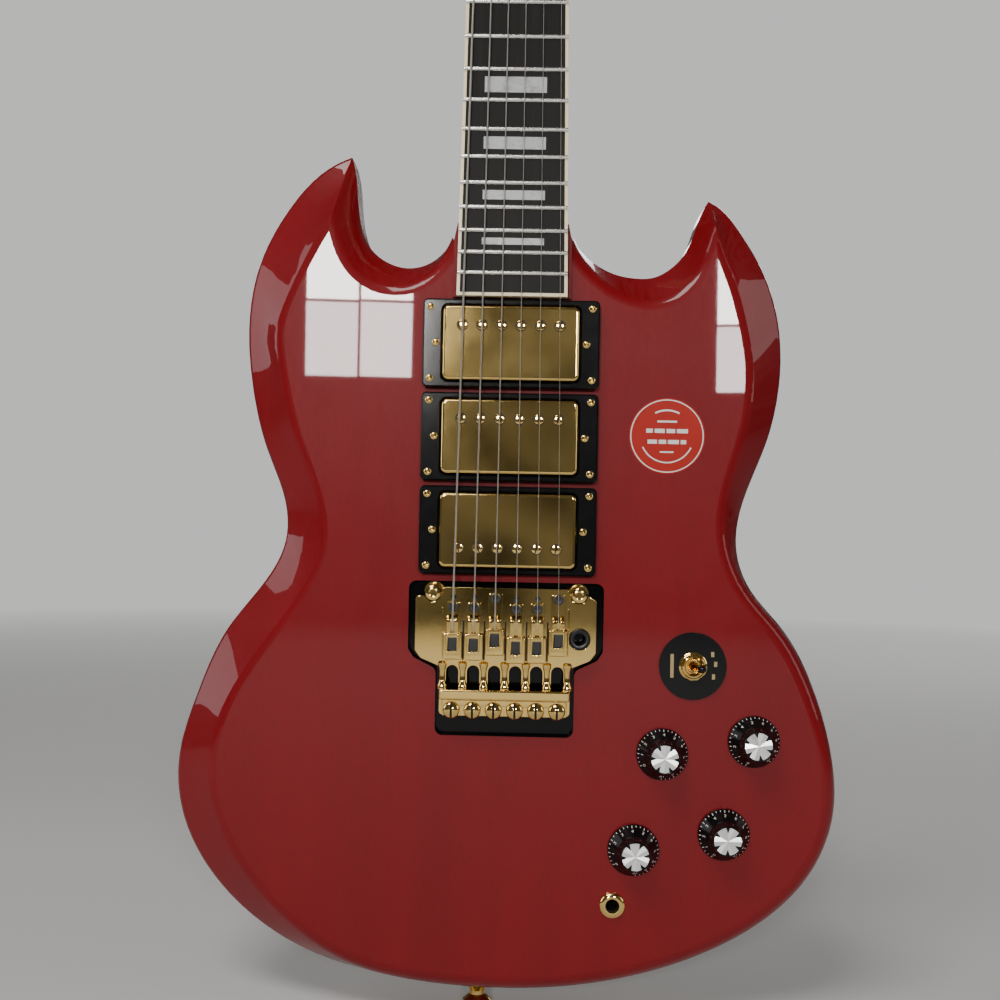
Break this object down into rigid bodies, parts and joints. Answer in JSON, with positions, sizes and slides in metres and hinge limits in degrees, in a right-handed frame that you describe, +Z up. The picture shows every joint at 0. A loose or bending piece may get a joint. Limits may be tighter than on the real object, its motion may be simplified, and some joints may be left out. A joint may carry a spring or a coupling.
{
  "type": "electric guitar",
  "caption": "Solid-body electric guitar with bevelled twin horns, covered pickups, a fulcrum tremolo, locking nut and tilted headstock.",
  "frame": {"origin": "tail end of the body, on the centre line, half way through the body's thickness", "axes": "+Z up the neck towards the headstock, the face with the strings towards -Y, the treble side and the controls towards +X"},
  "size_m": [0.3428, 0.0758, 1.0277],
  "materials": {
    "red_lacquer": "glossy translucent cherry red lacquer over mahogany with a fine upright grain",
    "ebony": "oiled black ebony",
    "pearl": "pearl grey with a soft sheen",
    "cream": "cream plastic",
    "fret_wire": "polished nickel silver",
    "gold": "polished gold plating",
    "black_gloss": "black, glossy",
    "black_matt": "black, satin",
    "steel": "bright steel",
    "black_steel": "black oxide"
  },
  "bodies": {
    "instrument": {"body": "red_lacquer", "neck": "red_lacquer", "truss_rod": "steel", "truss_rod_cover": "black_gloss", "fretboard": "ebony", "inlays": "pearl", "binding": "cream", "frets": "fret_wire", "nut_base": "gold", "nut_clamps": "gold", "headstock_screws": "gold", "tuner_housings": "gold", "pickup_rings": "black_gloss", "face_screws": "gold", "tremolo_studs": "gold", "tremolo_springs": "steel", "spring_claw": "steel", "strings": "steel", "string_ends": "steel", "control_pots": "steel", "toggle_plate": "black_gloss", "toggle_switch": "gold", "output_jack": "gold", "cavity_covers": "black_matt", "rear_screws": "steel", "strap_buttons": "gold"},
    "tremolo": {"tremolo_base_plate": "gold", "arm_collar": "black_steel", "sustain_block": "gold", "saddles": "gold", "string_locks": "black_steel"},
    "fine_tuner_1": {"fine_tuner_1": "gold"},
    "tuner_post_1": {"tuner_post_1": "gold"},
    "tuner_key_1": {"tuner_key_1": "gold"},
    "fine_tuner_2": {"fine_tuner_2": "gold"},
    "tuner_post_2": {"tuner_post_2": "gold"},
    "tuner_key_2": {"tuner_key_2": "gold"},
    "fine_tuner_3": {"fine_tuner_3": "gold"},
    "tuner_post_3": {"tuner_post_3": "gold"},
    "tuner_key_3": {"tuner_key_3": "gold"},
    "fine_tuner_4": {"fine_tuner_4": "gold"},
    "tuner_post_4": {"tuner_post_4": "gold"},
    "tuner_key_4": {"tuner_key_4": "gold"},
    "fine_tuner_5": {"fine_tuner_5": "gold"},
    "tuner_post_5": {"tuner_post_5": "gold"},
    "tuner_key_5": {"tuner_key_5": "gold"},
    "fine_tuner_6": {"fine_tuner_6": "gold"},
    "tuner_post_6": {"tuner_post_6": "gold"},
    "tuner_key_6": {"tuner_key_6": "gold"},
    "knob_1": {"knob_1": "black_gloss"},
    "knob_2": {"knob_2": "black_gloss"},
    "knob_3": {"knob_3": "black_gloss"},
    "knob_4": {"knob_4": "black_gloss"},
    "toggle_lever": {"toggle_lever": "black_gloss"},
    "pickup_neck": {"pickup_neck": "gold", "coils_neck": "black_matt"},
    "pickup_middle": {"pickup_middle": "gold", "coils_middle": "black_matt"},
    "pickup_bridge": {"pickup_bridge": "gold", "coils_bridge": "black_matt"}
  },
  "joints": [
    {"name": "tremolo_pivot", "type": "hinge", "parent": "instrument", "child": "tremolo", "pos_m": [0, -0.02375, 0.2052], "axis": [1, 0, 0], "range_deg": [-12, 6], "stiffness_Nm_per_rad": 20, "deforming": ["strings", "tremolo_springs"]},
    {"name": "fine_tuner_1_turn", "type": "hinge", "parent": "tremolo", "child": "fine_tuner_1", "pos_m": [-0.0267, -0.0275, 0.1465], "axis": [0, -1, 0], "range_deg": [-360, 360]},
    {"name": "fine_tuner_2_turn", "type": "hinge", "parent": "tremolo", "child": "fine_tuner_2", "pos_m": [-0.01602, -0.0275, 0.1465], "axis": [0, -1, 0], "range_deg": [-360, 360]},
    {"name": "fine_tuner_3_turn", "type": "hinge", "parent": "tremolo", "child": "fine_tuner_3", "pos_m": [-0.00534, -0.0275, 0.1465], "axis": [0, -1, 0], "range_deg": [-360, 360]},
    {"name": "fine_tuner_4_turn", "type": "hinge", "parent": "tremolo", "child": "fine_tuner_4", "pos_m": [0.00534, -0.0275, 0.1465], "axis": [0, -1, 0], "range_deg": [-360, 360]},
    {"name": "fine_tuner_5_turn", "type": "hinge", "parent": "tremolo", "child": "fine_tuner_5", "pos_m": [0.01602, -0.0275, 0.1465], "axis": [0, -1, 0], "range_deg": [-360, 360]},
    {"name": "fine_tuner_6_turn", "type": "hinge", "parent": "tremolo", "child": "fine_tuner_6", "pos_m": [0.0267, -0.0275, 0.1465], "axis": [0, -1, 0], "range_deg": [-360, 360]},
    {"name": "tuner_key_1_turn", "type": "hinge", "parent": "instrument", "child": "tuner_key_1", "pos_m": [-0.031, 0.0101, 0.88093], "axis": [-1, 0, 0], "continuous": true},
    {"name": "tuner_key_2_turn", "type": "hinge", "parent": "instrument", "child": "tuner_key_2", "pos_m": [-0.031, 0.02026, 0.92168], "axis": [-1, 0, 0], "continuous": true},
    {"name": "tuner_key_3_turn", "type": "hinge", "parent": "instrument", "child": "tuner_key_3", "pos_m": [-0.031, 0.03042, 0.96243], "axis": [-1, 0, 0], "continuous": true},
    {"name": "tuner_key_4_turn", "type": "hinge", "parent": "instrument", "child": "tuner_key_4", "pos_m": [0.031, 0.0101, 0.88093], "axis": [1, 0, 0], "continuous": true},
    {"name": "tuner_key_5_turn", "type": "hinge", "parent": "instrument", "child": "tuner_key_5", "pos_m": [0.031, 0.02026, 0.92168], "axis": [1, 0, 0], "continuous": true},
    {"name": "tuner_key_6_turn", "type": "hinge", "parent": "instrument", "child": "tuner_key_6", "pos_m": [0.031, 0.03042, 0.96243], "axis": [1, 0, 0], "continuous": true},
    {"name": "tuner_post_1_turn", "type": "hinge", "parent": "instrument", "child": "tuner_post_1", "pos_m": [-0.031, -0.01061, 0.87846], "axis": [0, -0.9703, 0.2419], "continuous": true},
    {"name": "tuner_post_2_turn", "type": "hinge", "parent": "instrument", "child": "tuner_post_2", "pos_m": [-0.031, -0.00045, 0.91922], "axis": [0, -0.9703, 0.2419], "continuous": true},
    {"name": "tuner_post_3_turn", "type": "hinge", "parent": "instrument", "child": "tuner_post_3", "pos_m": [-0.031, 0.00971, 0.95997], "axis": [0, -0.9703, 0.2419], "continuous": true},
    {"name": "tuner_post_4_turn", "type": "hinge", "parent": "instrument", "child": "tuner_post_4", "pos_m": [0.031, -0.01061, 0.87846], "axis": [0, -0.9703, 0.2419], "continuous": true},
    {"name": "tuner_post_5_turn", "type": "hinge", "parent": "instrument", "child": "tuner_post_5", "pos_m": [0.031, -0.00045, 0.91922], "axis": [0, -0.9703, 0.2419], "continuous": true},
    {"name": "tuner_post_6_turn", "type": "hinge", "parent": "instrument", "child": "tuner_post_6", "pos_m": [0.031, 0.00971, 0.95997], "axis": [0, -0.9703, 0.2419], "continuous": true},
    {"name": "knob_1_turn", "type": "hinge", "parent": "instrument", "child": "knob_1", "pos_m": [0.081, -0.027, 0.125], "axis": [0, -1, 0], "range_deg": [-150, 150]},
    {"name": "knob_2_turn", "type": "hinge", "parent": "instrument", "child": "knob_2", "pos_m": [0.1275, -0.027, 0.1323], "axis": [0, -1, 0], "range_deg": [-150, 150]},
    {"name": "knob_3_turn", "type": "hinge", "parent": "instrument", "child": "knob_3", "pos_m": [0.0672, -0.027, 0.0759], "axis": [0, -1, 0], "range_deg": [-150, 150]},
    {"name": "knob_4_turn", "type": "hinge", "parent": "instrument", "child": "knob_4", "pos_m": [0.113, -0.027, 0.0848], "axis": [0, -1, 0], "range_deg": [-150, 150]},
    {"name": "toggle_throw", "type": "hinge", "parent": "instrument", "child": "toggle_lever", "pos_m": [0.0958, -0.019, 0.1701], "axis": [0, 0, 1], "range_deg": [-28, 0]},
    {"name": "pickup_neck_height", "type": "slide", "parent": "instrument", "child": "pickup_neck", "axis": [0, -1, 0], "range_m": [-0.002, 0.002]},
    {"name": "pickup_middle_height", "type": "slide", "parent": "instrument", "child": "pickup_middle", "axis": [0, -1, 0], "range_m": [-0.002, 0.002]},
    {"name": "pickup_bridge_height", "type": "slide", "parent": "instrument", "child": "pickup_bridge", "axis": [0, -1, 0], "range_m": [-0.002, 0.002]}
  ],
  "couplings": [
    {"joint": "tuner_post_1_turn", "follows": "tuner_key_1_turn", "ratio": 0.071429},
    {"joint": "tuner_post_2_turn", "follows": "tuner_key_2_turn", "ratio": 0.071429},
    {"joint": "tuner_post_3_turn", "follows": "tuner_key_3_turn", "ratio": 0.071429},
    {"joint": "tuner_post_4_turn", "follows": "tuner_key_4_turn", "ratio": 0.071429},
    {"joint": "tuner_post_5_turn", "follows": "tuner_key_5_turn", "ratio": 0.071429},
    {"joint": "tuner_post_6_turn", "follows": "tuner_key_6_turn", "ratio": 0.071429}
  ]
}
